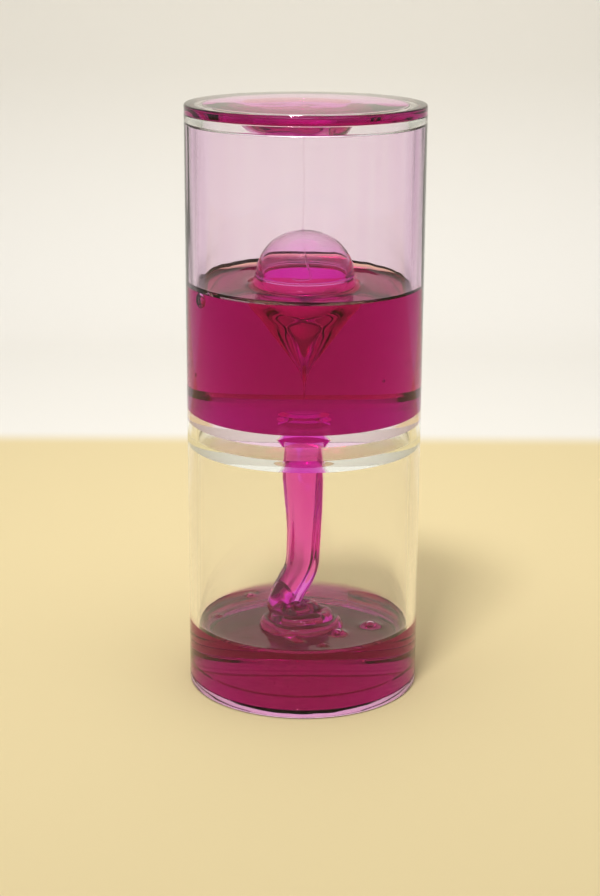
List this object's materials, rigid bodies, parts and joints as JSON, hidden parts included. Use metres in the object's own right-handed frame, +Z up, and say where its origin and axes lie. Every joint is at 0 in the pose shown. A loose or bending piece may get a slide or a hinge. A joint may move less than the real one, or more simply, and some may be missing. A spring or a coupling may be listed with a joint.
{
  "type": "liquid motion timer",
  "caption": "Clear sealed cylinder with two chambers; a coloured viscous liquid drains through a waisted orifice and coils onto a pool below while air rises as a bubble",
  "frame": {"origin": "centre of the underside of the lower lid, on the surface that the timer stands on", "axes": "+Z up along the tube's axis, -Y towards the viewer of the picture, +X to the viewer's right"},
  "size_m": [0.06, 0.06, 0.1508],
  "materials": {
    "clear_plastic": "clear polished",
    "magenta_liquid": "wet, translucent",
    "liquid_film": "wet, thin and clear"
  },
  "bodies": {
    "case": {"outer_tube": "clear_plastic", "bottom_lid": "clear_plastic", "top_lid": "clear_plastic", "lower_baffle": "clear_plastic", "upper_baffle": "clear_plastic", "lid_residue": "magenta_liquid"},
    "upper_liquid": {"upper_goo": "magenta_liquid", "bubble_dome": "liquid_film", "goo_thread": "liquid_film"},
    "lower_liquid": {"lower_pool": "magenta_liquid", "goo_coils": "magenta_liquid", "goo_stream": "magenta_liquid"}
  },
  "joints": [
    {"name": "upper_level", "type": "slide", "parent": "case", "child": "upper_liquid", "axis": [0, 0, -1], "range_m": [0, 0.03], "deforming": ["upper_goo", "goo_thread"]},
    {"name": "lower_level", "type": "slide", "parent": "case", "child": "lower_liquid", "axis": [0, 0, 1], "range_m": [0, 0.03], "deforming": ["lower_pool", "goo_stream"]}
  ],
  "couplings": [
    {"joint": "lower_level", "follows": "upper_level", "ratio": 1}
  ]
}
